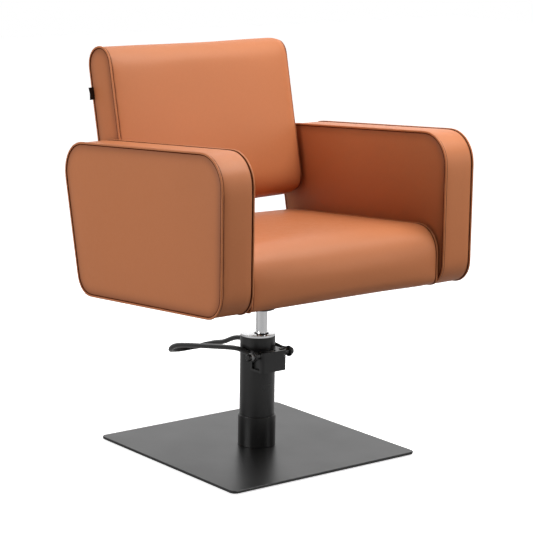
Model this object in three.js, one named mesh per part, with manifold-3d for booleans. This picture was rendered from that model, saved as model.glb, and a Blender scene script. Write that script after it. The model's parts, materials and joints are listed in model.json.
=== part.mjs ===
// Styling chair: upholstered seat, arms and back on a hydraulic column with a square floor plate.
// Millimetres. +Z is up, the sitter faces -Y, and the origin is on the floor under the column.
import * as THREE from 'three';
import { mergeVertices } from 'three/addons/utils/BufferGeometryUtils.js';
import Module from 'manifold-3d';

const wasm = await Module();
wasm.setup();

// ---------- driving dimensions ----------
const GAP = 0.3;                                  // clearance between neighbouring solids

const PLATE = { side: 500, thick: 6, corner: 14, edge: 1 };
const GLIDE = { r: 16, h: 3, inset: 30, centreR: 46 };
const PLATE_Z = GLIDE.h + GAP;                    // underside of the floor plate
const PLATE_TOP = PLATE_Z + PLATE.thick;

const COLUMN = { r: 38.8, wall: 3, top: 257.5, floor: 6 };
const SOCKET = { r: 41.7, top: 79 };
const RAM = { r: 12.5, y: -13, low: 38, top: 346 };
const LIFT_TUBE = { rOut: 18.5, rIn: 14.6, top: 240 };
const BUSH_H = 32;
const PISTON = { h: 14, land: 4.5, groove: 3.5 };
const CAP = { rim: 4.6, dome: 1.4, spigot: 8, seat: 260, seatR: 16.4 };
const WIPER = { r: 16, h: 4.6 };

const PUMP = { x: 34.5, front: -61.4, back: -10, low: 186, top: 231, corner: 8 };
const PIVOT = { y: -49.4, z: 224, r: 5.5, ear: 9, half: 54, springSide: 62.6 };
const CAM = { x: 6, r: 7.2, nose: 5.6, drop: 5, noseR: 3 };
const PLUNGER = { r: 3, low: 192, waist: 207 };
const POCKET = { x: 9, front: -57.4, back: -40, low: 202 };
const EYE = { x: 48, thick: 6, r: 12 };
const EAR_THICK = 11;
const RECESS = { front: -51.4, back: -25.4, low: 191, top: 209, deep: 5 };
const SHAFT_CAP = { r: 8.2, over: 2.6 };
const SPRING = { r: 8, wire: 0.8, from: 51.4, to: 59.2, turns: 3 };
const ROD_R = 6;

const SEAT_TILT = THREE.MathUtils.degToRad(4.15); // seat and arms fall towards the back
const BACK_LEAN = THREE.MathUtils.degToRad(12.6);
const SEAT_UNDER = 372;                           // underside of the seat above the column
const SEAT = { x: 250, front: -303, rear: 211, thick: 128.5, waterfall: 56, board: 18 };
const BOARD = { x: 240, front: -286, rear: 194 };
const RAIL = { w: 26, h: 46 };
const ARM = { in: 253.4, out: 333, front: -314, top: 699, low: 368, rear: 231.5, rearZ: 500 };
const ARM_R = { frontTop: 66, rearTop: 67, rearLow: 47, frontLow: 50 };
const ARM_BOARD = { in: 283, out: 301, inset: 24, low: 6, radii: [28, 24, 42, 42] };
const BACK = { x: 245.5, thick: 84, tall: 361.5, y: 184.9, z: 526.2 };
const BACK_R = { top: 40, frontLow: 40, rearLow: 12 };
const BACK_BOARD = { x: 238, thick: 18, low: 6, top: 322 };
const HUB = { r: 30, low: 318, top: 390, bore: 15.6, boreTop: 350 };
const SEAT_PLATE = { side: 260, thick: 5, corner: 16, bolt: 105, boltLength: 19 };
const BOLT = { r: 4, head: 6.8, headH: 5 };
const TAG = { z: 771, tall: 27, out: 12, thick: 1.4 };

const ROUND = 40;                                 // segments of a large round part
const SMALL_ROUND = 24;
const BORE_ROUND = 12;

// ---------- materials ----------
function material(color, roughness, metalness) {
  return new THREE.MeshStandardMaterial({ color, roughness, metalness });
}
const MAT = {
  vinyl: material(0xbe7852, 0.48, 0),
  blackMetal: material(0x141414, 0.25, 0),
  powderBlack: material(0x1c1c1c, 0.35, 0),
  chrome: material(0xc8c8ca, 0.12, 1),
  steel: material(0x8d9094, 0.35, 1),
  bronze: material(0x9c7a3c, 0.4, 1),
  rubber: material(0x161616, 0.85, 0),
  plywood: material(0xb48a58, 0.75, 0),
  label: material(0x101010, 0.7, 0),
};

// ---------- geometry helpers ----------
function toSolid(geometry) {
  const bare = new THREE.BufferGeometry();
  bare.setAttribute('position', geometry.getAttribute('position').clone());
  if (geometry.index) bare.setIndex(geometry.index.clone());
  const merged = mergeVertices(bare, 1e-4);
  return new wasm.Manifold(new wasm.Mesh({
    numProp: 3,
    vertProperties: new Float32Array(merged.attributes.position.array),
    triVerts: new Uint32Array(merged.index.array),
  }));
}

function toGeometry(solid) {
  const mesh = solid.getMesh();
  const geometry = new THREE.BufferGeometry();
  geometry.setAttribute('position', new THREE.BufferAttribute(new Float32Array(mesh.vertProperties), 3));
  geometry.setIndex(new THREE.BufferAttribute(new Uint32Array(mesh.triVerts), 1));
  return geometry;
}

const cut = (body, ...tools) => toGeometry(tools.reduce((s, t) => s.subtract(toSolid(t)), toSolid(body)));
const join = (body, ...more) => toGeometry(more.reduce((s, t) => s.add(toSolid(t)), toSolid(body)));

// A box given by its lowest and highest corners.
function block([x0, y0, z0], [x1, y1, z1]) {
  const box = new THREE.BoxGeometry(x1 - x0, y1 - y0, z1 - z0);
  return box.translate((x0 + x1) / 2, (y0 + y1) / 2, (z0 + z1) / 2);
}

// A turned part about the vertical line through (0, y), from [radius, height] pairs.
function turned(profile, y = 0, segments = ROUND) {
  const points = profile.map(([r, z]) => new THREE.Vector2(r, z));
  return new THREE.LatheGeometry(points, segments).rotateX(Math.PI / 2).translate(0, y, 0);
}

const disc = (r, z0, z1, y = 0, segments = ROUND) =>
  turned([[0, z0], [r, z0], [r, z1], [0, z1]], y, segments);
const sleeve = (rIn, rOut, z0, z1, y = 0, segments = ROUND) =>
  turned([[rIn, z0], [rOut, z0], [rOut, z1], [rIn, z1], [rIn, z0]], y, segments);

// A turned part about a line along X through (y, z), from [radius, x] pairs.
function turnedAlongX(profile, y, z, segments = SMALL_ROUND) {
  const points = profile.map(([r, x]) => new THREE.Vector2(r, x));
  return new THREE.LatheGeometry(points, segments).rotateZ(-Math.PI / 2).translate(0, y, z);
}

const rodAlongX = (r, x0, x1, y, z, segments = SMALL_ROUND) =>
  turnedAlongX([[0, x0], [r, x0], [r, x1], [0, x1]], y, z, segments);
const boreAlongX = (r, x0, x1, y, z) => rodAlongX(r, x0, x1, y, z, BORE_ROUND);

// Closed outline through corners [a, b, radius], with each corner rounded by an arc.
function roundedOutline(corners, arcSteps = 7) {
  const points = [];
  corners.forEach(([a, b, radius], i) => {
    const here = new THREE.Vector2(a, b);
    const [pa, pb] = corners[(i + corners.length - 1) % corners.length];
    const [na, nb] = corners[(i + 1) % corners.length];
    if (!radius) return points.push(here);
    const toPrev = new THREE.Vector2(pa, pb).sub(here).normalize();
    const toNext = new THREE.Vector2(na, nb).sub(here).normalize();
    const half = Math.acos(THREE.MathUtils.clamp(toPrev.dot(toNext), -1, 1)) / 2;
    const inward = toPrev.clone().add(toNext).normalize();
    const centre = here.clone().addScaledVector(inward, radius / Math.sin(half));
    const start = here.clone().addScaledVector(toPrev, radius / Math.tan(half)).sub(centre);
    const end = here.clone().addScaledVector(toNext, radius / Math.tan(half)).sub(centre);
    let sweep = end.angle() - start.angle();
    if (sweep > Math.PI) sweep -= 2 * Math.PI;
    if (sweep < -Math.PI) sweep += 2 * Math.PI;
    for (let k = 0; k <= arcSteps; k++) {
      points.push(start.clone().rotateAround(new THREE.Vector2(), sweep * k / arcSteps).add(centre));
    }
  });
  return points;
}

// An outline in the (y, z) plane swept along X from x0 to x1.
function profileAlongX(points, x0, x1) {
  const options = { depth: x1 - x0, bevelEnabled: false };
  const geometry = new THREE.ExtrudeGeometry(new THREE.Shape(points), options);
  const axes = new THREE.Matrix4().makeBasis(
    new THREE.Vector3(0, 1, 0), new THREE.Vector3(0, 0, 1), new THREE.Vector3(1, 0, 0));
  return geometry.applyMatrix4(axes).translate(x0, 0, 0);
}

// A round bar along a curve.
function bar(curve, radius, sides, steps) {
  const section = Array.from({ length: sides }, (_, k) => {
    const turn = 2 * Math.PI * k / sides;
    return new THREE.Vector2(radius * Math.cos(turn), radius * Math.sin(turn));
  });
  const options = { steps, bevelEnabled: false, extrudePath: curve };
  return new THREE.ExtrudeGeometry(new THREE.Shape(section), options);
}

// A rounded square slab with an optional round hole in its middle, from z0 up.
function squareSlab(side, corner, z0, thick, edge, holeR) {
  const h = side / 2 - edge;
  const r = corner - edge;
  const outline = roundedOutline([[-h, -h, r], [h, -h, r], [h, h, r], [-h, h, r]]);
  const shape = new THREE.Shape(outline);
  if (holeR) shape.holes.push(new THREE.Path().absarc(0, 0, holeR + edge, 0, 2 * Math.PI, true));
  const options = { depth: thick - 2 * edge, curveSegments: SMALL_ROUND, bevelEnabled: edge > 0 };
  Object.assign(options, { bevelThickness: edge, bevelSize: edge, bevelSegments: 1 });
  return new THREE.ExtrudeGeometry(shape, options).translate(0, 0, z0 + edge);
}

const SEAT_FRAME = new THREE.Matrix4().makeTranslation(0, 0, SEAT_UNDER)
  .multiply(new THREE.Matrix4().makeRotationX(-SEAT_TILT));
const BACK_FRAME = new THREE.Matrix4().makeTranslation(0, BACK.y, BACK.z)
  .multiply(new THREE.Matrix4().makeRotationX(-BACK_LEAN));
const inSeat = (geometry) => geometry.applyMatrix4(SEAT_FRAME);
const inBack = (geometry) => geometry.applyMatrix4(BACK_FRAME);

// ---------- the chair ----------
const chair = new THREE.Group();

function add(name, geometry, mat, mirrored = false) {
  if (mirrored) geometry = mirror(geometry);
  const mesh = new THREE.Mesh(geometry, mat);
  mesh.name = name;
  chair.add(mesh);
  return mesh;
}

// The same solid on the other side of the plane x = 0, with its faces still pointing out.
function mirror(geometry) {
  const flat = geometry.index ? geometry.toNonIndexed() : geometry.clone();
  const p = flat.getAttribute('position');
  for (let i = 0; i < p.count; i += 3) {
    const [ax, ay, az] = [p.getX(i), p.getY(i), p.getZ(i)];
    p.setXYZ(i, -p.getX(i + 1), p.getY(i + 1), p.getZ(i + 1));
    p.setXYZ(i + 1, -ax, ay, az);
    p.setX(i + 2, -p.getX(i + 2));
  }
  return flat;
}

const SIDES = [['left', false], ['right', true]]; // the sitter's left arm is on +X

function buildFloorPlate() {
  const { side, corner, thick, edge } = PLATE;
  add('base_plate', squareSlab(side, corner, PLATE_Z, thick, edge, COLUMN.r + GAP), MAT.powderBlack);
  add('centre_pad', disc(GLIDE.centreR, 0, GLIDE.h, 0, SMALL_ROUND), MAT.rubber);
  const reach = PLATE.side / 2 - GLIDE.inset;
  [[-1, -1], [1, -1], [1, 1], [-1, 1]].forEach(([sx, sy], i) => {
    const glide = add(`floor_glide_${i + 1}`, disc(GLIDE.r, 0, GLIDE.h, 0, SMALL_ROUND), MAT.rubber);
    glide.position.set(sx * reach, sy * reach, 0);
  });
  const z = PLATE_TOP + GAP;
  add('column_socket', turned([
    [COLUMN.r + GAP, z], [SOCKET.r, z], [SOCKET.r, SOCKET.top - 1.2], [SOCKET.r - 1.2, SOCKET.top],
    [COLUMN.r + GAP, SOCKET.top], [COLUMN.r + GAP, z],
  ]), MAT.blackMetal);
}

function buildColumn() {
  const inner = COLUMN.r - COLUMN.wall;
  const floor = PLATE_Z + COLUMN.floor;
  add('pump_cylinder', turned([
    [0, PLATE_Z], [COLUMN.r, PLATE_Z], [COLUMN.r, COLUMN.top],
    [inner, COLUMN.top], [inner, floor], [0, floor],
  ]), MAT.blackMetal);
  const { rIn, rOut, top } = LIFT_TUBE;
  add('lift_tube', sleeve(rIn, rOut, floor + GAP, top, RAM.y, SMALL_ROUND), MAT.steel);
  const bush = sleeve(RAM.r + GAP, rIn - GAP, top - 1 - BUSH_H, top - 1, RAM.y, SMALL_ROUND);
  add('guide_bush', bush, MAT.bronze);
  add('cylinder_cap', columnCap(), MAT.chrome);
  add('wiper_seal', turned([
    [RAM.r + GAP, CAP.seat + GAP], [WIPER.r, CAP.seat + GAP], [WIPER.r, CAP.seat + WIPER.h - 2],
    [WIPER.r - 2, CAP.seat + WIPER.h], [RAM.r + GAP, CAP.seat + WIPER.h], [RAM.r + GAP, CAP.seat + GAP],
  ], RAM.y, SMALL_ROUND), MAT.rubber);
}

// A domed lid that drops into the cylinder, bored off centre for the ram.
function columnCap() {
  const low = COLUMN.top + GAP;
  const rim = low + CAP.rim;
  const plug = COLUMN.r - COLUMN.wall - GAP;
  const dome = Array.from({ length: 7 }, (_, k) => {
    const r = COLUMN.r * (1 - k / 6);
    return [r, rim + CAP.dome * (1 - (r / COLUMN.r) ** 2)];
  });
  const under = low - CAP.spigot;
  const lid = turned([[0, under], [plug, under], [plug, low], [COLUMN.r, low], ...dome]);
  const bore = disc(RAM.r + 0.8, low - 2 * CAP.spigot, rim + 10, RAM.y, SMALL_ROUND);
  const seat = disc(CAP.seatR, CAP.seat, rim + 10, RAM.y, SMALL_ROUND);
  return cut(lid, bore, seat);
}

function buildRam() {
  add('lift_ram', turned([
    [0, RAM.low], [RAM.r, RAM.low], [RAM.r, RAM.top - 2], [RAM.r - 2, RAM.top], [0, RAM.top],
  ], RAM.y, SMALL_ROUND), MAT.chrome);
  const { h, land, groove } = PISTON;
  const r = LIFT_TUBE.rIn - 0.5;
  const low = RAM.low - GAP - h;
  add('ram_piston', turned([
    [0, low], [r, low], [r, low + land], [r - groove, low + land], [r - groove, low + h - land],
    [r, low + h - land], [r, low + h], [0, low + h],
  ], RAM.y, SMALL_ROUND), MAT.steel);
  const ring = sleeve(r - groove + GAP, r + 0.2, low + land + GAP, low + h - land - GAP, RAM.y, SMALL_ROUND);
  add('piston_seal', ring, MAT.rubber);
}

function buildPumpHousing() {
  const c = PUMP.corner;
  const plan = roundedOutline([
    [-PUMP.x, PUMP.front, c], [PUMP.x, PUMP.front, c], [PUMP.x, PUMP.back, 0], [-PUMP.x, PUMP.back, 0],
  ], 5);
  const options = { depth: PUMP.top - PUMP.low, bevelEnabled: false };
  const body = new THREE.ExtrudeGeometry(new THREE.Shape(plan), options).translate(0, 0, PUMP.low);
  const earIn = PUMP.x - EAR_THICK;
  const ear = () => join(
    rodAlongX(PIVOT.ear, earIn, PUMP.x, PIVOT.y, PIVOT.z),
    block([earIn, PIVOT.y - PIVOT.ear, PUMP.top - PUMP.corner], [PUMP.x, PIVOT.y + PIVOT.ear, PIVOT.z]),
  );
  const recess = () => block([PUMP.x - RECESS.deep, RECESS.front, RECESS.low],
    [PUMP.x + RECESS.deep, RECESS.back, RECESS.top]);
  const solid = join(body, ear(), mirror(ear()));
  add('pump_housing', cut(
    solid,
    disc(COLUMN.r + GAP, PUMP.low - 10, PUMP.top + 20),
    rodAlongX(PIVOT.r + GAP, -PIVOT.half, PIVOT.half, PIVOT.y, PIVOT.z),
    block([-POCKET.x, POCKET.front, POCKET.low], [POCKET.x, POCKET.back, PUMP.top + 10]),
    disc(PLUNGER.r + GAP, PLUNGER.low - GAP - 3, PLUNGER.waist + 5, PIVOT.y + CAM.nose, SMALL_ROUND),
    recess(),
    mirror(recess()),
  ), MAT.blackMetal);
}

function buildLever() {
  add('pivot_shaft', rodAlongX(PIVOT.r, -PIVOT.springSide, PIVOT.half, PIVOT.y, PIVOT.z), MAT.steel);
  add('pump_cam', cut(
    join(
      rodAlongX(CAM.r, -CAM.x, CAM.x, PIVOT.y, PIVOT.z),
      rodAlongX(CAM.noseR, -CAM.x, CAM.x, PIVOT.y + CAM.nose, PIVOT.z - CAM.drop),
    ),
    rodAlongX(PIVOT.r + GAP, -20, 20, PIVOT.y, PIVOT.z),
  ), MAT.steel);
  add('foot_lever', leverLoop(), MAT.blackMetal);
  const cap = (end) => turnedAlongX([
    [PIVOT.r + GAP, end - SHAFT_CAP.over], [SHAFT_CAP.r, end - SHAFT_CAP.over], [SHAFT_CAP.r, end + 1.8],
    [SHAFT_CAP.r - 2.2, end + 4], [0, end + 4], [0, end + GAP], [PIVOT.r + GAP, end + GAP],
    [PIVOT.r + GAP, end - SHAFT_CAP.over],
  ], PIVOT.y, PIVOT.z);
  add('shaft_cap_left', cap(PIVOT.half), MAT.blackMetal);
  add('shaft_cap_right', mirror(cap(PIVOT.springSide)), MAT.blackMetal);
  const eyeIn = EYE.x - EYE.thick / 2 - GAP;
  const spacer = () => turnedAlongX([
    [PIVOT.r + GAP, PUMP.x + GAP], [PIVOT.r + 2, PUMP.x + GAP], [PIVOT.r + 2, eyeIn],
    [PIVOT.r + GAP, eyeIn], [PIVOT.r + GAP, PUMP.x + GAP],
  ], PIVOT.y, PIVOT.z);
  SIDES.forEach(([side, flip]) => add(`shaft_spacer_${side}`, spacer(), MAT.blackMetal, flip));
}

// A bent bar that runs from one shaft end round behind the column to the other.
function leverLoop() {
  const w = EYE.x;
  const tipY = 250;
  const atEye = [PIVOT.y + 9.2, PIVOT.z + 3];
  const nearSide = [atEye, [-22, 228], [0, 231], [24, 229.5], [130, 212], [225, 195]];
  const farSide = [
    [225, 188], [190, 197], [165, 208], [145, 215.5], [115, 220.5],
    [24, 227.5], [0, 228.5], [-22, 226], atEye,
  ];
  const tip = [[0, 188, 180], [0.2, 180.5, 175], [0.4, 172, 169], [0.6, 168, 166], [0.8, 165, 163.6]];
  const tipZ = 163;
  const points = nearSide.map(([y, z]) => new THREE.Vector3(-w, y, z));
  tip.forEach(([t, z]) => points.push(arcPoint(w, tipY, t, -1, z)));
  points.push(new THREE.Vector3(0, tipY + w, tipZ));
  tip.slice().reverse().forEach(([t, , z]) => points.push(arcPoint(w, tipY, t, 1, z)));
  farSide.forEach(([y, z]) => points.push(new THREE.Vector3(w, y, z)));
  const loop = bar(new THREE.CatmullRomCurve3(points, false, 'centripetal'), ROD_R, 8, 66);
  const eye = () => rodAlongX(EYE.r, w - EYE.thick / 2, w + EYE.thick / 2, PIVOT.y, PIVOT.z);
  const hole = rodAlongX(PIVOT.r + GAP, -PIVOT.half, PIVOT.half, PIVOT.y, PIVOT.z);
  return cut(join(loop, eye(), mirror(eye())), hole);
}

// A point on the half circle at the loop's end: t is 0 where the bar leaves the straight and 1 at the tip.
function arcPoint(w, y, t, side, z) {
  const turn = t * Math.PI / 2;
  return new THREE.Vector3(side * w * Math.cos(turn), y + w * Math.sin(turn), z);
}

function buildSpringAndPlunger() {
  const length = SPRING.to - SPRING.from;
  class Coil extends THREE.Curve {
    getPoint(t, target = new THREE.Vector3()) {
      const turn = 2 * Math.PI * SPRING.turns * t;
      return target.set(-SPRING.from - SPRING.wire - (length - 2 * SPRING.wire) * t,
        PIVOT.y + SPRING.r * Math.cos(turn), PIVOT.z + SPRING.r * Math.sin(turn));
    }
  }
  add('return_spring', bar(new Coil(), SPRING.wire, 5, 12 * SPRING.turns), MAT.steel);
  const y = PIVOT.y + CAM.nose;
  const top = PIVOT.z - CAM.drop - CAM.noseR - GAP;
  add('pump_plunger', disc(PLUNGER.r, PLUNGER.low, top, y, SMALL_ROUND), MAT.steel);
}

// A pan-headed bolt along +Z with its head's underside at z = 0 and its shank above.
function bolt(length) {
  const { r, head, headH } = BOLT;
  return turned([[0, -headH], [head, -headH], [head, 0], [r, 0], [r, length], [0, length]], 0, BORE_ROUND);
}

const boltAlongX = (length, x, y, z) => bolt(length).rotateY(Math.PI / 2).translate(x, y, z);

function buildSeatBracket() {
  const seatPlane = inSeat(block([-400, -400, -SEAT_PLATE.thick - 2 * GAP], [400, 400, 200]));
  const hub = turned([
    [HUB.bore, HUB.low], [HUB.r - 2, HUB.low], [HUB.r, HUB.low + 2], [HUB.r, HUB.top],
    [0, HUB.top], [0, HUB.boreTop], [HUB.bore, HUB.boreTop], [HUB.bore, HUB.low],
  ], RAM.y, SMALL_ROUND);
  add('swivel_hub', cut(hub, seatPlane), MAT.blackMetal);
  const bush = sleeve(RAM.r + GAP, HUB.bore - GAP, HUB.low + 0.5, RAM.top - 4, RAM.y, SMALL_ROUND);
  add('hub_bush', bush, MAT.bronze);
  const holes = boltSpots().map(([x, y]) => disc(BOLT.r + GAP, -20, 20, 0, 12).translate(x, y, 0));
  const plate = squareSlab(SEAT_PLATE.side, SEAT_PLATE.corner, -SEAT_PLATE.thick - GAP, SEAT_PLATE.thick, 0)
    .translate(0, RAM.y, 0);
  add('seat_plate', inSeat(cut(plate, ...holes)), MAT.blackMetal);
  boltSpots().forEach(([x, y], i) => {
    const screw = bolt(SEAT_PLATE.boltLength).translate(x, y, -SEAT_PLATE.thick - 2 * GAP);
    add(`seat_plate_bolt_${i + 1}`, inSeat(screw), MAT.steel);
  });
}

function boltSpots() {
  const b = SEAT_PLATE.bolt;
  return [[-b, RAM.y - b], [b, RAM.y - b], [b, RAM.y + b], [-b, RAM.y + b]];
}

const ARM_BOLT_Y = [-190, 110];
const ARM_BOLT_Z = SEAT.board + RAIL.h / 2;
const BACK_BOLT_V = [44, 112];
const BACK_BOLT_IN = 206;                         // how near the middle a back bolt's tip comes

function seatRail(grow) {
  return block([BOARD.x - RAIL.w - grow, BOARD.front + 6 - grow, SEAT.board + GAP - grow],
    [BOARD.x + grow, BOARD.rear - 6 + grow, SEAT.board + RAIL.h + grow]);
}

function buildSeat() {
  const under = (y) => SEAT_UNDER - Math.tan(SEAT_TILT) * y;
  const rise = SEAT.thick / Math.cos(SEAT_TILT);
  const outline = roundedOutline([
    [SEAT.front, under(SEAT.front), 12], [SEAT.rear - 8, under(SEAT.rear - 8), 12],
    [SEAT.rear, under(SEAT.rear) + rise, 16], [SEAT.front, under(SEAT.front) + rise, SEAT.waterfall],
  ]);
  const boardSlot = inSeat(block([-BOARD.x - GAP, BOARD.front - GAP, -30],
    [BOARD.x + GAP, BOARD.rear + GAP, SEAT.board + GAP]));
  const boltRoom = (x0, x1, r) => ARM_BOLT_Y.flatMap((y) => [1, -1].map((s) =>
    inSeat(boreAlongX(r, Math.min(s * x0, s * x1), Math.max(s * x0, s * x1), y, ARM_BOLT_Z))));
  const headIn = BOARD.x - RAIL.w - BOLT.headH - 1;
  add('seat_cushion', cut(
    profileAlongX(outline, -SEAT.x, SEAT.x), boardSlot, inSeat(seatRail(GAP)), inSeat(mirror(seatRail(GAP))),
    ...boltRoom(BOARD.x - 5, SEAT.x + 5, BOLT.r + GAP), ...boltRoom(headIn, BOARD.x - 5, BOLT.head + 0.6),
  ), MAT.vinyl);
  const holes = boltSpots().map(([x, y]) => disc(BOLT.r + GAP, -10, 40, 0, 12).translate(x, y, 0));
  const board = block([-BOARD.x, BOARD.front, 0], [BOARD.x, BOARD.rear, SEAT.board]);
  add('seat_board', inSeat(cut(board, ...holes)), MAT.plywood);
  SIDES.forEach(([side, flip]) => {
    const bores = ARM_BOLT_Y.map((y) => boreAlongX(BOLT.r + GAP, 100, 300, y, ARM_BOLT_Z));
    add(`seat_rail_${side}`, inSeat(cut(seatRail(0), ...bores)), MAT.plywood, flip);
    ARM_BOLT_Y.forEach((y, i) => {
      const screw = boltAlongX(ARM_BOARD.out - BOARD.x + RAIL.w, BOARD.x - RAIL.w - GAP, y, ARM_BOLT_Z);
      add(`arm_bolt_${side}_${i + 1}`, inSeat(screw), MAT.steel, flip);
    });
  });
}

// Corners of the arm's side, pulled in by an inset: front low, rear low, rear top, front top.
function armCorners(inset, low) {
  const fall = Math.tan(SEAT_TILT);
  const lean = Math.tan(BACK_LEAN);
  const front = ARM.front + inset;
  const rearOffset = ARM.rear - inset / Math.cos(BACK_LEAN);
  const meetRear = (z0) => {
    const y = (rearOffset + (z0 - ARM.rearZ) * lean) / (1 + fall * lean);
    return [y, z0 - fall * y];
  };
  const lowZ = ARM.low + low;
  const topZ = ARM.top - inset;
  return [[front, lowZ - fall * front], meetRear(lowZ), meetRear(topZ), [front, topZ - fall * front]];
}

function armOutline(inset, low, radii) {
  return roundedOutline(armCorners(inset, low).map(([y, z], i) => [y, z, radii[i]]));
}

function buildArms() {
  const padRadii = [ARM_R.frontLow, ARM_R.rearLow, ARM_R.rearTop, ARM_R.frontTop];
  const { inset, low, radii } = ARM_BOARD;
  SIDES.forEach(([side, flip]) => {
    const pad = profileAlongX(armOutline(0, 0, padRadii), ARM.in, ARM.out);
    const slot = profileAlongX(armOutline(inset - GAP, -60, [0, 0, radii[2], radii[3]]),
      ARM_BOARD.in - GAP, ARM_BOARD.out + GAP);
    const bore = (y, z) => boreAlongX(BOLT.r + GAP, ARM.in - 5, ARM_BOARD.in + 1, y, z);
    const seatBolts = ARM_BOLT_Y.map((y) => inSeat(bore(y, ARM_BOLT_Z)));
    const backBolts = BACK_BOLT_V.map((v) => inBack(bore(0, v)));
    const heads = BACK_BOLT_V.map((v) =>
      inBack(boreAlongX(BOLT.head + 0.6, ARM_BOARD.out - 1, ARM_BOARD.out + BOLT.headH + 1, 0, v)));
    add(`arm_pad_${side}`, cut(pad, slot, ...seatBolts, ...backBolts, ...heads), MAT.vinyl, flip);
    const board = profileAlongX(armOutline(inset, low, radii), ARM_BOARD.in, ARM_BOARD.out);
    const bores = [
      ...ARM_BOLT_Y.map((y) => inSeat(boreAlongX(BOLT.r + GAP, 200, 400, y, ARM_BOLT_Z))),
      ...BACK_BOLT_V.map((v) => inBack(boreAlongX(BOLT.r + GAP, 200, 400, 0, v))),
    ];
    add(`arm_board_${side}`, cut(board, ...bores), MAT.plywood, flip);
  });
}

function buildBack() {
  const h = BACK.thick / 2;
  const outline = roundedOutline([
    [-h, 0, BACK_R.frontLow], [h, 0, BACK_R.rearLow], [h, BACK.tall, BACK_R.top], [-h, BACK.tall, BACK_R.top],
  ]);
  const b = BACK_BOARD;
  const slot = block([-b.x - GAP, -b.thick / 2 - GAP, -20], [b.x + GAP, b.thick / 2 + GAP, b.top + GAP]);
  const holes = BACK_BOLT_V.flatMap((v) => [1, -1].map((s) =>
    boreAlongX(BOLT.r + GAP, s > 0 ? b.x - 5 : -BACK.x - 5, s > 0 ? BACK.x + 5 : 5 - b.x, 0, v)));
  add('back_cushion', inBack(cut(profileAlongX(outline, -BACK.x, BACK.x), slot, ...holes)), MAT.vinyl);
  const board = block([-b.x, -b.thick / 2, b.low], [b.x, b.thick / 2, b.top]);
  const bores = BACK_BOLT_V.flatMap((v) => [1, -1].map((s) =>
    boreAlongX(BOLT.r + GAP, s > 0 ? 200 : -300, s > 0 ? 300 : -200, 0, v)));
  add('back_board', inBack(cut(board, ...bores)), MAT.plywood);
  SIDES.forEach(([side, flip]) => BACK_BOLT_V.forEach((v, i) => {
    const length = ARM_BOARD.out + GAP - BACK_BOLT_IN;
    const screw = bolt(length).rotateY(-Math.PI / 2).translate(ARM_BOARD.out + GAP, 0, v);
    add(`back_bolt_${side}_${i + 1}`, inBack(screw), MAT.steel, flip);
  }));
}

// A plain woven tab caught in the rear seam on the sitter's right.
function buildTag() {
  const v = (TAG.z - BACK.z) / Math.cos(BACK_LEAN);
  const y = BACK.thick / 2 - 6;
  const x = -BACK.x - GAP;
  add('seam_tag', inBack(block([x - TAG.out, y, v], [x, y + TAG.thick, v + TAG.tall])), MAT.label);
}

buildFloorPlate();
buildColumn();
buildRam();
buildPumpHousing();
buildLever();
buildSpringAndPlunger();
buildSeatBracket();
buildSeat();
buildArms();
buildBack();
buildTag();

export default chair;
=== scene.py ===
"""Styling chair: upholstery, metalwork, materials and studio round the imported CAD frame. Metres, +Z up."""

import json
import math

import bmesh
import bpy
import numpy as np
from mathutils import Matrix, Vector, geometry, kdtree, noise


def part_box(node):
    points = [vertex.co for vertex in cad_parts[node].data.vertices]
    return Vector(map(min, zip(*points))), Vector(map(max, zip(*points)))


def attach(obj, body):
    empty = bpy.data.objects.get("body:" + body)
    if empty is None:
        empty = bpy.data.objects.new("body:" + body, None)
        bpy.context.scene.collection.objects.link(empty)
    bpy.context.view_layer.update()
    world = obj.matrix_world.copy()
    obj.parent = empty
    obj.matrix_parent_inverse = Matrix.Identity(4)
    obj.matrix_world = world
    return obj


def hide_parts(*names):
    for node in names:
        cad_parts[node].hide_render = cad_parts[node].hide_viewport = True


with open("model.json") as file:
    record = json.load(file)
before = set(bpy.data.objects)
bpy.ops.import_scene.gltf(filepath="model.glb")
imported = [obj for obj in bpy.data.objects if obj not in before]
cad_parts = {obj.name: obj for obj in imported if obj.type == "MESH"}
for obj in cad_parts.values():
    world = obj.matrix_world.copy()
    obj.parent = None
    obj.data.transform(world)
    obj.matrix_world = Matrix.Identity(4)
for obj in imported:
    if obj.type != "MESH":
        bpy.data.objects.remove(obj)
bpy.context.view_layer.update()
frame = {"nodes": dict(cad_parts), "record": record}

# ---------- driving values ----------
CELL = 0.0075                     # mesh spacing of the cushions before simulation
OUTLINE_STEP = 0.002              # spacing of the points along a cushion's silhouette
OUTLINE_SMOOTHING = 6             # rounds of averaging over those points

SIM_FRAMES = 20
PRESSURE = 4.0
CLOTH = {
    "quality": 5, "mass": 0.3, "tension_stiffness": 18, "compression_stiffness": 18,
    "shear_stiffness": 8, "bending_stiffness": 1.5,
}

PIPING_R = 0.0024
PIPING_STEP = 0.004               # spacing of the points along a piping
STITCH_AND_SHADE_R = (0.0010, 0.0007)       # the dark rows of stitches along a piping, on its panel and its band; they also stand as painted shade in the seam
STITCH_AND_SHADE_HEIGHT = (0.0008, 0.0006)  # how far each row stands up from the cord's middle
GROOVE = (0.0016, 0.007)          # how far a seam is pulled in under its piping, and how wide that reaches
TURNED_EDGE = (0.0060, 0.013)     # the same where an edge is rolled over into the gap beside it
HEM = 0.014                       # width of vinyl wrapped under the seat board
HOLLOW = 0.004                    # how far the underside is pressed in over the board
FOAM = {"height": 0.0007, "scale": 9.0, "from_seam": 0.03}                     # soft unevenness
PUCKER = {"height": 0.00022, "scale": 75.0, "from_seam": 0.010, "width": 0.008}  # gathers along a seam
# painted shade: how dark the vinyl is painted in the groove beside a piping, and on the panel near it
SEAM_SHADE = {"reach": 0.0026, "most": 0.95, "panel": 0.5, "panel_reach": 0.014}

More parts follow.
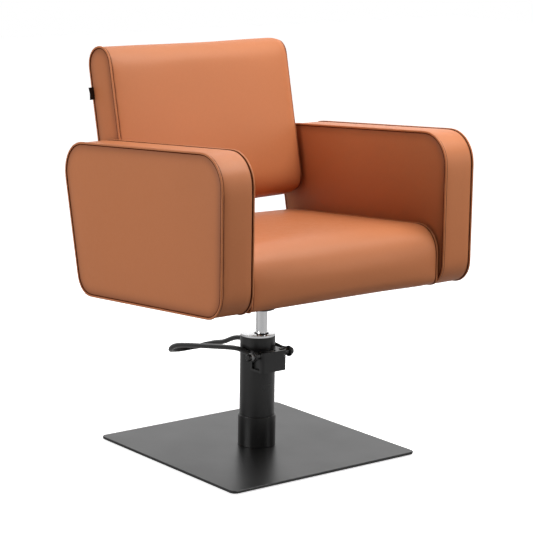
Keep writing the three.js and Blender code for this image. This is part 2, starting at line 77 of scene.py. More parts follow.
FACING = 0.7                      # a normal with more than this much of a direction faces that way
EDGE_ANGLE = math.radians(32)     # a sharper edge of a metal part is broken
SAME_PLACE = 1e-6                 # points of a metal part that are closer than this are one
FLAT_ANGLE = math.radians(0.6)    # flatter facets of a metal part are joined into one face
LEVER_VOXEL = 0.0011
LEVER_SMOOTHING = 14

CAMERA = {
    "aim": (0.0, 0.0, 0.5), "azimuth": -37.79, "elevation": 11.58, "roll": 0.78,
    "distance": 4.3297, "right": 0.01578, "up": -0.08789, "lens": 134.49, "sensor": 36,
}

LAMP_AIM = (0, 0, 0.6)
LAMPS = (                         # name, place, size and watts
    ("overhead", (0.65, -0.95, 2.25), (1.3, 1.2), 43),
    ("overhead_rear", (0.50, 0.30, 2.55), (1.4, 1.1), 16),
    ("left_box", (-2.30, 0.25, 1.00), (1.4, 1.2), 30),
    ("right_box", (1.80, -2.20, 1.20), (1.4, 1.2), 15),
)
COVE = (0.61, 0.79, 0.0)                    # the cove's direction, behind the chair from the camera
COVE_SPREAD = (0.2, 0.8, 0.10, 1.25)        # from and to, as cosines, and the light at each
FLOOR_GLOW = (0.80, 0.25)                   # added light of the floor for the camera and in reflections

scene = bpy.context.scene


# ---------- small helpers ----------
def new_object(name, mesh):
    piece = bpy.data.objects.new(name, mesh)
    scene.collection.objects.link(piece)
    return piece


def closed_mesh(name, points, faces):
    """A mesh from points and faces, with every face turned outwards."""
    mesh = bpy.data.meshes.new(name)
    mesh.from_pydata(points, [], faces)
    work = bmesh.new()
    work.from_mesh(mesh)
    bmesh.ops.recalc_face_normals(work, faces=work.faces)
    work.to_mesh(mesh)
    work.free()
    return mesh


def finish_piece(piece, body, slot, material, *nodes):
    """Puts a finished piece on its body, with its finish and the CAD nodes that it stands for."""
    piece.data.materials.clear()
    piece.data.materials.append(material)
    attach(piece, body)
    if nodes:
        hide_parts(*nodes)
    return piece


def coordinates(mesh):
    co = np.empty(len(mesh.vertices) * 3, np.float32)
    mesh.vertices.foreach_get("co", co)
    return co.reshape(-1, 3).astype(float)


def set_coordinates(mesh, co):
    mesh.vertices.foreach_set("co", co.astype(np.float32).ravel())
    mesh.update()


def apply_modifiers(piece):
    """Replaces a piece's mesh with the one that its modifiers make."""
    evaluated = piece.evaluated_get(bpy.context.evaluated_depsgraph_get())
    mesh = bpy.data.meshes.new_from_object(evaluated)
    piece.modifiers.clear()
    old, piece.data = piece.data, mesh
    bpy.data.meshes.remove(old)
    mesh.name = piece.name


def shade(mesh, sharp_angle=None):
    """Smooth shading, with a hard edge wherever two faces meet at more than the angle."""
    mesh.polygons.foreach_set("use_smooth", [True] * len(mesh.polygons))
    if sharp_angle is not None:
        mesh.set_sharp_from_angle(angle=sharp_angle)
    mesh.update()


# ---------- materials ----------
class Shader:
    """A Principled material with a few shorthand calls for its nodes."""

    def __init__(self, name, **sockets):
        self.material = bpy.data.materials.new(name)
        self.material.use_nodes = True
        self.tree = self.material.node_tree
        self.bsdf = self.tree.nodes["Principled BSDF"]
        for socket, value in sockets.items():
            self.bsdf.inputs[socket.replace("_", " ")].default_value = value
        self.place = self.tree.nodes.new("ShaderNodeTexCoord").outputs["Object"]

    def node(self, kind, **values):
        made = self.tree.nodes.new(kind)
        for key, value in values.items():
            if key in made.bl_rna.properties:
                setattr(made, key, value)
            else:
                made.inputs[key.replace("_", " ")].default_value = value
        return made

    def link(self, source, target):
        self.tree.links.new(source, target)

    def stretched(self, scale):
        made = self.node("ShaderNodeMapping")
        made.inputs["Scale"].default_value = scale
        self.link(self.place, made.inputs["Vector"])
        return made.outputs["Vector"]

    def noise(self, scale, detail=2.0, place=None):
        made = self.node("ShaderNodeTexNoise", Scale=scale, Detail=detail)
        self.link(place or self.place, made.inputs["Vector"])
        return made.outputs["Fac"]

    def cells(self, scale):
        made = self.node("ShaderNodeTexVoronoi", Scale=scale)
        self.link(self.place, made.inputs["Vector"])
        return made.outputs["Distance"]

    def between(self, factor, low, high):
        made = self.node("ShaderNodeMapRange")
        made.inputs["To Min"].default_value = low
        made.inputs["To Max"].default_value = high
        self.link(factor, made.inputs["Value"])
        return made.outputs["Result"]

    def mix(self, factor, a, b):
        """Mixes two colours or sockets by a socket or a number."""
        made = self.node("ShaderNodeMix", data_type="RGBA")
        for socket, value in (("A", a), ("B", b)):
            target = [s for s in made.inputs if s.name == socket and s.type == "RGBA"][0]
            if isinstance(value, tuple):
                target.default_value = (*value, 1.0)
            else:
                self.link(value, target)
        if isinstance(factor, float):
            made.inputs[0].default_value = factor
        else:
            self.link(factor, made.inputs[0])
        return [s for s in made.outputs if s.type == "RGBA"][0]

    def bump(self, height, depth, strength=1.0, below=None):
        made = self.node("ShaderNodeBump", Strength=strength, Distance=depth)
        self.link(height, made.inputs["Height"])
        if below:
            self.link(below, made.inputs["Normal"])
        return made.outputs["Normal"]

    def colour(self, source):
        self.link(source, self.bsdf.inputs["Base Color"])

    def rough(self, source):
        self.link(source, self.bsdf.inputs["Roughness"])

    def normal(self, source):
        self.link(source, self.bsdf.inputs["Normal"])


def scaled(colour, factor):
    """The same colour, lighter or darker."""
    return tuple(c * factor for c in colour)


TAN = (0.500, 0.170, 0.065)
# the colour of the painted shade in a seam's groove and on the panel near it
PAINTED_SHADE_TAN = (0.085, 0.013, 0.005)


def vinyl(name):
    """Tan upholstery vinyl: fine pebbled grain, soft mottling and painted shade along its gathered seams."""
    s = Shader(name, Specular_IOR_Level=0.34, Specular_Tint=(1.0, 0.88, 0.78, 1.0))
    broad = s.mix(s.noise(5.0, 3.0), scaled(TAN, 0.93), scaled(TAN, 1.06))
    fine = s.mix(s.noise(160.0, 2.0), scaled(TAN, 0.95), scaled(TAN, 1.05))
    # the seam attribute mixes painted shade into the colour near the pipings
    seam = s.node("ShaderNodeAttribute", attribute_name="seam")
    s.colour(s.mix(seam.outputs["Fac"], s.mix(0.5, broad, fine), PAINTED_SHADE_TAN))
    s.rough(s.between(s.noise(60.0, 3.0), 0.40, 0.54))
    pebbles = s.bump(s.cells(780.0), 0.00012, 0.55)
    s.normal(s.bump(s.noise(2100.0, 1.0), 0.00005, 0.5, below=pebbles))
    return s.material


def black_coat(name, colour, rough_low, rough_high, peel=0.00003):
    """Black enamel or powder coat with a faint orange-peel surface."""
    s = Shader(name)
    s.colour(s.mix(s.noise(24.0, 4.0), scaled(colour, 0.8), scaled(colour, 1.25)))
    s.rough(s.between(s.noise(9.0, 5.0), rough_low, rough_high))
    s.normal(s.bump(s.noise(620.0, 2.0), peel, 0.5))
    return s.material


def chrome():
    """Ground and plated steel: faint lines run round the ram and a light haze varies the polish."""
    s = Shader("chrome", Metallic=1.0)
    s.colour(s.mix(s.noise(18.0, 3.0), (0.70, 0.70, 0.71), (0.80, 0.80, 0.81)))
    lines = s.noise(60.0, 3.0, s.stretched((1.0, 1.0, 40.0)))
    s.rough(s.between(lines, 0.08, 0.20))
    s.normal(s.bump(lines, 0.00001, 0.3))
    return s.material


def steel():
    """Zinc-plated steel of bolts and the spring."""
    s = Shader("zinc_steel", Metallic=1.0)
    s.colour(s.mix(s.noise(70.0, 4.0), (0.40, 0.40, 0.41), (0.58, 0.58, 0.57)))
    s.rough(s.between(s.noise(130.0, 3.0), 0.28, 0.46))
    s.normal(s.bump(s.noise(900.0, 2.0), 0.00002, 0.5))
    return s.material


def bronze():
    """Sintered bronze of the bushes."""
    s = Shader("bronze", Metallic=1.0)
    s.colour(s.mix(s.noise(90.0, 4.0), (0.40, 0.26, 0.10), (0.58, 0.40, 0.17)))
    s.rough(s.between(s.noise(120.0, 2.0), 0.3, 0.5))
    return s.material


def rubber():
    """Matt black rubber of glides, pads and seals."""
    s = Shader("black_rubber")
    s.colour(s.mix(s.noise(60.0, 4.0), (0.012, 0.012, 0.012), (0.03, 0.029, 0.028)))
    s.rough(s.between(s.noise(200.0, 2.0), 0.7, 0.9))
    s.normal(s.bump(s.noise(1400.0, 2.0), 0.00005, 0.6))
    return s.material


def plywood():
    """Birch plywood: long grain on the faces and thin darker plies."""
    s = Shader("plywood")
    grain = s.noise(14.0, 6.0, s.stretched((9.0, 1.0, 9.0)))
    plies = s.node("ShaderNodeTexWave", Scale=95.0, Distortion=0.6, bands_direction="Z")
    s.link(s.place, plies.inputs["Vector"])
    wood = s.mix(grain, (0.40, 0.25, 0.12), (0.62, 0.44, 0.25))
    s.colour(s.mix(s.between(plies.outputs["Fac"], 0.0, 0.3), wood, (0.26, 0.15, 0.07)))
    s.rough(s.between(grain, 0.6, 0.8))
    s.normal(s.bump(grain, 0.0002, 0.4))
    return s.material


def woven_tape():
    """Plain black woven tape, with no lettering."""
    s = Shader("black_tape")
    weave = s.node("ShaderNodeTexWave", Scale=420.0, bands_direction="DIAGONAL")
    s.link(s.place, weave.inputs["Vector"])
    s.colour(s.mix(weave.outputs["Fac"], (0.004, 0.004, 0.004), (0.016, 0.016, 0.016)))
    s.rough(s.between(weave.outputs["Fac"], 0.55, 0.75))
    s.normal(s.bump(weave.outputs["Fac"], 0.0001, 0.6))
    return s.material


def thread():
    """Dark brown sewing thread, dark enough that its rows also stand as painted shade in the seam."""
    s = Shader("seam_thread_and_shade", Specular_IOR_Level=0.04)
    s.colour(s.mix(s.noise(380.0, 1.0), (0.040, 0.008, 0.003), (0.095, 0.020, 0.008)))
    s.rough(s.between(s.noise(500.0, 1.0), 0.7, 0.9))
    return s.material


VINYL = vinyl("tan_vinyl")
PIPING = vinyl("tan_piping")
THREAD_AND_SHADE = thread()
MATERIALS = {
    "upholstery": VINYL,
    "black_metal": black_coat("black_enamel", (0.012, 0.012, 0.012), 0.24, 0.36),
    "plate_metal": black_coat("black_powder", (0.011, 0.011, 0.011), 0.31, 0.40, 0.00004),
    "chrome": chrome(),
    "steel": steel(),
    "bronze": bronze(),
    "rubber": rubber(),
    "plywood": plywood(),
    "label": woven_tape(),
}


def paint_frame():
    """Every CAD node gets the procedural material of its slot in the record."""
    for row in frame["record"]["subparts"]:
        slots = frame["nodes"][row["node"]].data.materials
        slots.clear()
        slots.append(MATERIALS[row["material_slot"]])


# ---------- cushions ----------
def outline(node):
    """The node's silhouette seen along X, as an evenly spaced, slightly smoothed loop of (y, z)."""
    points = [(v.co.y, v.co.z) for v in frame["nodes"][node].data.vertices]
    hull = np.array([points[i] for i in geometry.convex_hull_2d(points)])
    steps = int(length_of(hull, True) / OUTLINE_STEP)
    loop = spaced(np.vstack([hull, hull[:1]]), steps)[:-1]
    for _ in range(OUTLINE_SMOOTHING):
        loop = (np.roll(loop, 1, 0) + np.roll(loop, -1, 0) + 2 * loop) / 4
    return loop


def distances(points, targets):
    """How far each point is from the nearest of the targets."""
    tree = kdtree.KDTree(len(targets))
    for index, target in enumerate(targets):
        tree.insert(Vector(target), index)
    tree.balance()
    return np.array([tree.find(Vector(p))[2] for p in points])


def length_of(points, closed=False):
    """The length of a line, or of a loop if it's closed."""
    steps = np.diff(np.vstack([points, points[:1]]) if closed else points, axis=0)
    return float(np.linalg.norm(steps, axis=1).sum())


def spaced(points, cells):
    """The same line with its points at equal steps."""
    steps = np.linalg.norm(np.diff(points, axis=0), axis=1)
    along = np.concatenate([[0], np.cumsum(steps)])
    wanted = np.linspace(0, along[-1], cells + 1)
    return np.stack([np.interp(wanted, along, points[:, k]) for k in range(points.shape[1])], 1)


def four_sides(loop, cell):
    """The loop cut at its four corners into low, rear, top and front runs, all running towards +Y or +Z."""
    middle, half = (loop.max(0) + loop.min(0)) / 2, (loop.max(0) - loop.min(0)) / 2
    signs = ((-1, -1), (1, -1), (1, 1), (-1, 1))
    corner = {sign: int(np.argmax(((loop - middle) / half) @ sign)) for sign in signs}
    forward = np.cross(*(loop[[corner[1, -1], corner[1, 1]]] - loop[corner[-1, -1]])) > 0

    def run(a, b):
        i, j = (corner[a], corner[b]) if forward else (corner[b], corner[a])
        section = loop[i:j + 1] if i <= j else np.vstack([loop[i:], loop[:j + 1]])
        return section if forward else section[::-1]

    low, rear = run((-1, -1), (1, -1)), run((1, -1), (1, 1))
    top, front = run((1, 1), (-1, 1)), run((-1, 1), (-1, -1))
    across = max(4, round((length_of(low) + length_of(top)) / 2 / cell))
    up = max(4, round((length_of(rear) + length_of(front)) / 2 / cell))
    return spaced(low, across), spaced(rear, up), spaced(top[::-1], across), spaced(front[::-1], up)


def side_patch(low, rear, top, front):
    """Points inside the four runs, as a grid [across][up] of (y, z)."""
    u = np.linspace(0, 1, len(low))[:, None, None]
    v = np.linspace(0, 1, len(rear))[None, :, None]
    ruled = (1 - v) * low[:, None] + v * top[:, None] + (1 - u) * front[None] + u * rear[None]
    front_corners = (1 - u) * ((1 - v) * low[0] + v * top[0])
    rear_corners = u * ((1 - v) * low[-1] + v * top[-1])
    return ruled - front_corners - rear_corners


class Pad:
    """A box cushion swept along X: a band round its outline, a panel on each side and sewn edges."""

    def __init__(self, node, name):
        self.name = name
        cell = CELL
        low_corner, high_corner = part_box(node)
        self.x = (low_corner.x, high_corner.x)
        sides = four_sides(outline(node), cell)
        grid = side_patch(*sides)
        across, up = grid.shape[0] - 1, grid.shape[1] - 1
        ring = [(i, 0) for i in range(across)] + [(across, j) for j in range(up)]
        ring += [(i, up) for i in range(across, 0, -1)] + [(0, j) for j in range(up, 0, -1)]
        rows = max(4, round((self.x[1] - self.x[0]) / cell))
        points, where, faces = [], {}, []

        def point(key, x, yz):
            where[key] = len(points)
            points.append((x, *yz))

        for k in range(rows + 1):
            x = self.x[0] + (self.x[1] - self.x[0]) * k / rows
            for i, j in ring:
                point((k, i, j), x, grid[i, j])
        for k in (0, rows):
            for i in range(1, across):
                for j in range(1, up):
                    point((k, i, j), self.x[0 if k == 0 else 1], grid[i, j])
            for i in range(across):
                for j in range(up):
                    corners = ((i, j), (i + 1, j), (i + 1, j + 1), (i, j + 1))
                    faces.append([where[k, m, n] for m, n in corners])
        for k in range(rows):
            for (i, j), (m, n) in zip(ring, ring[1:] + ring[:1]):
                faces.append([where[k, i, j], where[k, m, n], where[k + 1, m, n], where[k + 1, i, j]])
        self.piece = new_object(name, closed_mesh(name, points, faces))
        self.rest = np.array(points)
        self.seam = np.array([where[k, i, j] for k in (0, rows) for i, j in ring])
        self.panel = np.zeros((2, len(points)), bool)
        for (k, _, _), index in where.items():
            if k in (0, rows):
                self.panel[0 if k == 0 else 1, index] = True
        self.loop = np.array([grid[i, j] for i, j in ring])

    def swell(self, side_caps, band_cap):
        """Blows the cover up between its pinned seams, then holds each point to its cap with a soft limit."""
        caps = band_cap(self.rest) if callable(band_cap) else np.full(len(self.rest), band_cap)
        for side, cap in enumerate(side_caps):
            caps[self.panel[side]] = cap
        pushed = simulate(self.piece, self.seam.tolist()) - self.rest
        size = np.linalg.norm(pushed, axis=1)
        limited = caps * np.tanh(size / np.maximum(caps, 1e-6))
        pushed *= (limited / np.maximum(size, 1e-9))[:, None]
        set_coordinates(self.piece.data, self.rest + pushed)

    def hollow(self, board):
        """Presses the underside in over the board that it's wrapped round, so that the board shows there."""
        low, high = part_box(board)
        co = coordinates(self.piece.data)
        down = np.array([v.normal.z for v in self.piece.data.vertices]) < -FACING
        over = (np.abs(self.rest[:, 0]) < high.x - HEM) & (self.rest[:, 1] > low.y + HEM)
        chosen = down & over & (self.rest[:, 1] < high.y - HEM)
        co[chosen, 2] += HOLLOW
        set_coordinates(self.piece.data, co)

    def refine(self, grooves):
        """Pulls each side's seam in, adds the soft unevenness of foam and one level of subdivision."""
        mesh = self.piece.data
        co = coordinates(mesh)
        normals = np.array([v.normal for v in mesh.vertices])
        half = len(self.seam) // 2
        near = [distances(self.rest, self.rest[side]) for side in (self.seam[:half], self.seam[half:])]
        pull = sum(depth * np.exp(-(gap / width) ** 2) for gap, (depth, width) in zip(near, grooves))
        reach = np.minimum(*near)
        away = 1 - np.exp(-(reach / FOAM["from_seam"]) ** 2)
        waves = np.array([noise.noise(Vector(p) * FOAM["scale"]) for p in co]) * FOAM["height"] * away
        gathers = np.array([noise.noise(Vector(p) * PUCKER["scale"]) for p in co])
        gathers *= PUCKER["height"] * np.exp(-((reach - PUCKER["from_seam"]) / PUCKER["width"]) ** 2)
        set_coordinates(mesh, co + normals * (waves + gathers - pull)[:, None])
        self.piece.modifiers.new("smooth", "SUBSURF").levels = 1
        self.piece.modifiers["smooth"].render_levels = 1
        apply_modifiers(self.piece)
        shade(self.piece.data)

    def pipe(self, side, inset_x, inset, tag):
        """A round cord sewn into one edge, between a row of stitches on the panel and one on the band. The
        dark stitch rows also stand as painted shade beside the cord.
        """
        x = self.x[0] + inset_x if side == 0 else self.x[1] - inset_x
        steps = int(length_of(self.loop, True) / PIPING_STEP)
        loop = spaced(np.vstack([self.loop, self.loop[:1]]), steps)[:-1]
        ahead, behind = np.roll(loop, -1, 0), np.roll(loop, 1, 0)
        tangent = (ahead - behind) / np.linalg.norm(ahead - behind, axis=1)[:, None]
        turn = 1 if np.cross(loop[0] - loop.mean(0), tangent[0]) > 0 else -1
        outward = turn * np.stack([tangent[:, 1], -tangent[:, 0]], 1)
        centre = loop - outward * inset
        cord = ring_tube(f"{self.name}_piping_{tag}", x, centre, outward, PIPING_R)
        inward = 1 if side == 0 else -1
        on_panel, on_band = STITCH_AND_SHADE_R
        # dark stitch rows that also paint the shade line beside the cord
        place, sewn = x - inward * STITCH_AND_SHADE_HEIGHT[0], centre - outward * (PIPING_R + on_panel * 0.5)
        panel_row = ring_tube(f"{self.name}_stitching_{tag}", place, sewn, outward, on_panel, 6)
        place, sewn = x + inward * (PIPING_R + on_band * 0.5), centre + outward * STITCH_AND_SHADE_HEIGHT[1]
        band_row = ring_tube(f"{self.name}_band_stitching_{tag}", place, sewn, outward, on_band, 6)
        return (cord, PIPING), (panel_row, THREAD_AND_SHADE), (band_row, THREAD_AND_SHADE), (x, centre)

    def mark_seams(self, lines):
        """Writes the seam attribute of painted shade: near 1 in the groove beside a piping, less on the side
        panel near it, and 0 well away from it.
        """
        mesh = self.piece.data
        near = distances(coordinates(mesh), [(x, y, z) for x, centre in lines for y, z in centre])
        # painted shade in the groove beside the piping
        groove = np.clip(1.25 - (near - PIPING_R) / SEAM_SHADE["reach"], 0, 1)
        groove = groove ** 1.5 * SEAM_SHADE["most"]
        # broader, fainter painted shade on the side panel near the seam
        on_panel = np.array([abs(v.normal.x) > FACING for v in mesh.vertices])
        panel = on_panel * SEAM_SHADE["panel"] * np.exp(-(near / SEAM_SHADE["panel_reach"]) ** 2)
        attribute = mesh.attributes.new("seam", "FLOAT", "POINT")
        attribute.data.foreach_set("value", np.maximum(groove, panel).astype(np.float32))


def ring_tube(name, x, centre, outward, radius, sides=10):
    """A closed round cord round a loop that lies in a plane of constant x."""
    points, faces = [], []
    for (y, z), (ny, nz) in zip(centre, outward):
        for k in range(sides):
            turn = 2 * math.pi * k / sides
            out, along = radius * math.cos(turn), radius * math.sin(turn)
            points.append((x + along, y + ny * out, z + nz * out))
    count = len(centre)
    for i in range(count):
        for k in range(sides):
            a, b = i * sides + k, i * sides + (k + 1) % sides
            c, d = (i + 1) % count * sides + (k + 1) % sides, (i + 1) % count * sides + k
            faces.append([a, b, c, d])
    mesh = closed_mesh(name, points, faces)
    shade(mesh)
    return new_object(name, mesh)


def simulate(piece, pinned):
    """Runs Blender's cloth under pressure with no gravity and returns where the points end up."""
    group = piece.vertex_groups.new(name="pin")
    group.add(pinned, 1.0, "REPLACE")
    cloth = piece.modifiers.new("cloth", "CLOTH")
    settings = cloth.settings
    settings.vertex_group_mass = "pin"
    settings.use_pressure = True
    settings.uniform_pressure_force = PRESSURE
    settings.effector_weights.gravity = 0
    for name, value in CLOTH.items():
        setattr(settings, name, value)
    cloth.point_cache.frame_start, cloth.point_cache.frame_end = 1, SIM_FRAMES
    for step in range(1, SIM_FRAMES + 1):
        scene.frame_set(step)
    evaluated = piece.evaluated_get(bpy.context.evaluated_depsgraph_get())
    moved = coordinates(evaluated.data)
    piece.modifiers.clear()
    piece.vertex_groups.clear()
    scene.frame_set(1)
    return moved


def upholster(node, name, side_caps, band_cap, pipings, board=None, grooves=(GROOVE, GROOVE)):
    """
    One cushion with its two pipings, on the seat's body. Sides are in the order low x, high x, and
    each piping has its inset from the panel's plane and from the band's face.
    """
    pad = Pad(node, name)
    pad.swell(side_caps, band_cap)
    if board:
        pad.hollow(board)
    pad.refine(grooves)
    lines = []
    for side, tag in ((0, "right"), (1, "left")):
        *pieces, line = pad.pipe(side, *pipings[side], tag)
        for piece, material in pieces:
            finish_piece(piece, "seat", "upholstery", material)
        lines.append(line)
    # paints shade along the seams
    pad.mark_seams(lines)
    finish_piece(pad.piece, "seat", "upholstery", VINYL, node)


def make_upholstery():
    """The seat, both arms and the back, each with its own swell and pipings."""
    seat_low, seat_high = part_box("seat_cushion")

    def seat_caps(rest):
        """The top and the rounded front swell, and the underside stays flat on its board."""
        flat, swell = 0.0006, 0.0074
        rise = np.clip((rest[:, 2] - seat_low.z) / (seat_high.z - seat_low.z), 0, 1)
        return flat + swell * np.clip(rise * 1.4 - 0.15, 0, 1)

    seat_sides, seat_piping, seat_fill = (0.0008, 0.0008), ((0.0022, 0.0012),) * 2, 0.75
    upholster("seat_cushion", "seat_pad", seat_sides, seat_caps, seat_piping, "seat_board")

    arm_band, arm_fill = 0.0028, 0.85
    outer, inner = 0.0058, 0.0006
    tucked, proud = (0.0020, 0.0006), (0.0008, 0.0006)
    upholster("arm_pad_left", "arm_cover_left", (inner, outer), arm_band, (tucked, proud))
    upholster("arm_pad_right", "arm_cover_right", (outer, inner), arm_band, (proud, tucked))

    back_sides, back_band, back_fill = (0.0022, 0.0045), 0.0055, 0.8
    back_piping, back_grooves = ((0.0010, 0.0008), (0.0050, 0.0072)), (GROOVE, TURNED_EDGE)
    upholster(
        "back_cushion", "back_pad", back_sides, back_band, back_piping, grooves=back_grooves
    )


# ---------- metalwork ----------
def refined(node, body, slot, bevel):
    """A copy of a CAD node with its flat faces cleaned up, its edges broken and its curves shaded smooth."""
    mesh = frame["nodes"][node].data.copy()
    work = bmesh.new()
    work.from_mesh(mesh)
    bmesh.ops.remove_doubles(work, verts=work.verts, dist=SAME_PLACE)
    bmesh.ops.dissolve_limit(work, angle_limit=FLAT_ANGLE, verts=work.verts, edges=work.edges)
    edges = [e for e in work.edges if e.is_manifold and e.calc_face_angle(0) > EDGE_ANGLE]
    bmesh.ops.bevel(
        work, geom=edges, offset=bevel, segments=2, profile=0.5, affect="EDGES", clamp_overlap=True
    )
    work.to_mesh(mesh)
    work.free()
    shade(mesh, EDGE_ANGLE)
    piece = new_object(f"{node}_finished", mesh)
    for attribute in [a.name for a in mesh.attributes if a.name.startswith("custom_normal")]:
        mesh.attributes.remove(mesh.attributes[attribute])
    flatten = piece.modifiers.new("flatten", "WEIGHTED_NORMAL")
    flatten.mode, flatten.weight, flatten.keep_sharp = "FACE_AREA", 50, True
    apply_modifiers(piece)
    return finish_piece(piece, body, slot, MATERIALS[slot], node)


def make_metalwork():
    """The plate, column, pump block, ram, hub and shaft ends, then the lever and its spring."""
    for node, slot, bevel in (
        ("base_plate", "plate_metal", 0.0004), ("column_socket", "black_metal", 0.0006),
        ("pump_cylinder", "black_metal", 0.0008), ("cylinder_cap", "chrome", 0.0008),
        ("wiper_seal", "rubber", 0.0004), ("pump_housing", "black_metal", 0.0012),
    ):
        refined(node, "base", slot, bevel)
    refined("lift_ram", "ram", "chrome", 0.0006)
    refined("swivel_hub", "seat", "black_metal", 0.0008)
    refined("seat_plate", "seat", "black_metal", 0.0006)
    for node in ("shaft_cap_left", "shaft_cap_right", "shaft_spacer_left", "shaft_spacer_right"):
        refined(node, "lever", "black_metal", 0.0006)
    make_lever()
    make_spring()


def make_lever():
    """The bent bar and its two welded eyes, remeshed fine to round the bar and fillet the welds."""
    piece = new_object("foot_pedal", frame["nodes"]["foot_lever"].data.copy())
    remesh = piece.modifiers.new("remesh", "REMESH")
    remesh.mode, remesh.voxel_size = "VOXEL", LEVER_VOXEL
    smooth = piece.modifiers.new("smooth", "SMOOTH")
    smooth.factor, smooth.iterations = 0.5, LEVER_SMOOTHING
    apply_modifiers(piece)
    shade(piece.data)
    finish_piece(piece, "lever", "black_metal", MATERIALS["black_metal"], "foot_lever")


def make_spring():
    """The lever's return spring, a coil round the pivot shaft."""
    low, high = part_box("return_spring")
    wire, turns, steps = 0.0008, 3, 28
    middle = (low + high) / 2
    radius = (high.z - low.z) / 2 - wire
    count = turns * steps
    curve = bpy.data.curves.new("spring", "CURVE")
    curve.dimensions = "3D"
    line = curve.splines.new("POLY")
    line.points.add(count)
    for i in range(count + 1):
        turn = 2 * math.pi * turns * i / count
        x = high.x - wire + (low.x + 2 * wire - high.x) * i / count
        line.points[i].co = (x, middle.y + radius * math.cos(turn), middle.z + radius * math.sin(turn), 1)
    curve.bevel_depth, curve.bevel_resolution, curve.use_fill_caps = wire, 3, True
    source = new_object("spring_source", curve)
    mesh = bpy.data.meshes.new_from_object(source.evaluated_get(bpy.context.evaluated_depsgraph_get()))
    bpy.data.objects.remove(source)
    shade(mesh)
    piece = new_object("lever_spring", mesh)
    finish_piece(piece, "base", "steel", MATERIALS["steel"], "return_spring")


def make_tab():
    """A strip of woven tape folded back on itself, with both ends sewn into the back's rear seam."""
    corners = coordinates(frame["nodes"]["seam_tag"].data)
    corners = corners[np.argsort(corners[:, 2])]
    half = len(corners) // 2
    foot, head = corners[:half].mean(0), corners[half:].mean(0)
    rise = head - foot
    across = np.cross((1, 0, 0), rise) / np.linalg.norm(rise)
    reach = np.ptp(corners[:, 0]) / 2
    fold, tape, sewn_in, bow, rows = 0.0009, 0.0004, 0.002, 0.0012, 8
    turns = np.linspace(-math.pi / 2, math.pi / 2, 9)

    def path(radius):
        bend = [(fold - reach - radius * math.cos(a), radius * math.sin(a)) for a in turns]
        return [(reach + sewn_in, -radius), *bend, (reach + sewn_in, radius)]

    layers = (path(fold), path(fold - tape))
    count = len(layers[0])
    points, faces = [], []
    for k in range(rows + 1):
        for layer in layers:
            for x, out in layer:
                lean = bow * math.sin(math.pi * k / rows) * (reach - x) / reach
                points.append(foot + rise * k / rows + np.array((x, 0, 0)) + across * (out + lean))

    def at(k, layer, i):
        return (2 * k + layer) * count + i

    for k in range(rows):
        for layer in (0, 1):
            for i in range(count - 1):
                j = i + 1
                faces.append([at(k, layer, i), at(k, layer, j), at(k + 1, layer, j), at(k + 1, layer, i)])
        for i in (0, count - 1):
            faces.append([at(k, 0, i), at(k, 1, i), at(k + 1, 1, i), at(k + 1, 0, i)])
    for k in (0, rows):
        for i in range(count - 1):
            faces.append([at(k, 0, i), at(k, 0, i + 1), at(k, 1, i + 1), at(k, 1, i)])
    mesh = closed_mesh("folded_tab", points, faces)
    shade(mesh, math.radians(40))
    finish_piece(new_object("folded_tab", mesh), "seat", "label", MATERIALS["label"], "seam_tag")


# ---------- studio ----------
def make_camera():
    """The photo's view, aimed at the middle of the chair and then shifted and rolled a little."""
    a, e, r = (math.radians(CAMERA[k]) for k in ("azimuth", "elevation", "roll"))
    back = Vector((math.sin(a) * math.cos(e), -math.cos(a) * math.cos(e), math.sin(e)))
    level = Vector((math.cos(a), math.sin(a), 0))
    upright = back.cross(level)
    right = level * math.cos(r) + upright * math.sin(r)
    up = upright * math.cos(r) - level * math.sin(r)
    data = bpy.data.cameras.new("camera")
    data.lens, data.sensor_width = CAMERA["lens"], CAMERA["sensor"]
    camera = bpy.data.objects.new("camera", data)
    scene.collection.objects.link(camera)
    place = Vector(CAMERA["aim"]) + back * CAMERA["distance"] + right * CAMERA["right"] + up * CAMERA["up"]
    turn = Matrix((right, up, back)).transposed().to_4x4()
    camera.matrix_world = Matrix.Translation(place) @ turn
    scene.camera = camera


def area_light(name, place, aim, size, watts):
    data = bpy.data.lights.new(name, "AREA")
    data.shape, data.size, data.size_y, data.energy = "RECTANGLE", size[0], size[1], watts
    light = bpy.data.objects.new(name, data)
    scene.collection.objects.link(light)
    light.location = place
    light.rotation_mode = "QUATERNION"
    light.rotation_quaternion = (Vector(aim) - Vector(place)).to_track_quat("-Z", "Y")


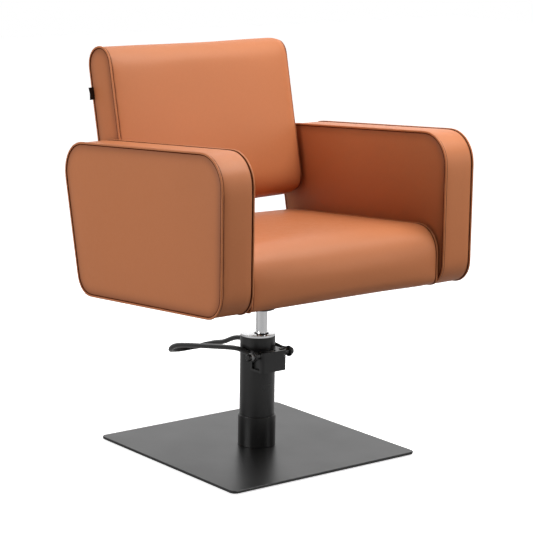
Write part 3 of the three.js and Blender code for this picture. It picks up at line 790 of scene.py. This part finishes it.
def make_floor():
    """A pale floor. It bounces less light than it shows, as one that runs on past the lamps would."""
    mesh = bpy.data.meshes.new("floor")
    half = 9.0
    corners = [(-half, -half, 0), (half, -half, 0), (half, half, 0), (-half, half, 0)]
    mesh.from_pydata(corners, [], [(0, 1, 2, 3)])
    floor = new_object("floor", mesh)
    s = Shader("pale_floor", Roughness=0.9)
    pale = s.mix(s.noise(1.5, 2.0), (0.91, 0.91, 0.91), (0.94, 0.94, 0.94))
    rays = s.node("ShaderNodeLightPath")
    seen = rays.outputs["Is Camera Ray"]
    s.colour(s.mix(seen, (0.25, 0.25, 0.25), pale))
    s.tree.links.new(pale, s.bsdf.inputs["Emission Color"])
    mirrored = s.between(rays.outputs["Is Glossy Ray"], 0.0, FLOOR_GLOW[1])
    glow = s.node("ShaderNodeMath", operation="ADD")
    s.link(s.between(seen, 0.0, FLOOR_GLOW[0]), glow.inputs[0])
    s.link(mirrored, glow.inputs[1])
    s.link(glow.outputs["Value"], s.bsdf.inputs["Emission Strength"])
    mesh.materials.append(s.material)


def make_dome():
    """The studio round the chair: a bright cove behind it and a dim room before it."""
    world = bpy.data.worlds.new("studio")
    world.use_nodes = True
    tree = world.node_tree
    nodes, links = tree.nodes, tree.links
    place = nodes.new("ShaderNodeTexCoord").outputs["Generated"]

    facing = nodes.new("ShaderNodeVectorMath")
    facing.operation = "DOT_PRODUCT"
    facing.inputs[1].default_value = COVE
    links.new(place, facing.inputs[0])
    ramp = nodes.new("ShaderNodeMapRange")
    ramp.interpolation_type = "SMOOTHSTEP"
    for socket, value in zip(("From Min", "From Max", "To Min", "To Max"), COVE_SPREAD):
        ramp.inputs[socket].default_value = value
    links.new(facing.outputs["Value"], ramp.inputs["Value"])
    seen = nodes.new("ShaderNodeLightPath").outputs["Is Camera Ray"]
    choose = nodes.new("ShaderNodeMix")
    choose.inputs["B"].default_value = 1.0
    links.new(seen, choose.inputs["Factor"])
    links.new(ramp.outputs["Result"], choose.inputs["A"])
    background = nodes["Background"]
    background.inputs["Color"].default_value = (1, 1, 1, 1)
    links.new(choose.outputs["Result"], background.inputs["Strength"])
    scene.world = world


def make_studio():
    """Pale floor, studio dome and softboxes, shown without a film-like tone curve."""
    make_floor()
    make_dome()
    scene.view_settings.view_transform = "Standard"
    for name, place, size, watts in LAMPS:
        area_light(name, place, LAMP_AIM, size, watts)


paint_frame()
make_camera()
make_upholstery()
make_tab()
make_metalwork()
make_studio()
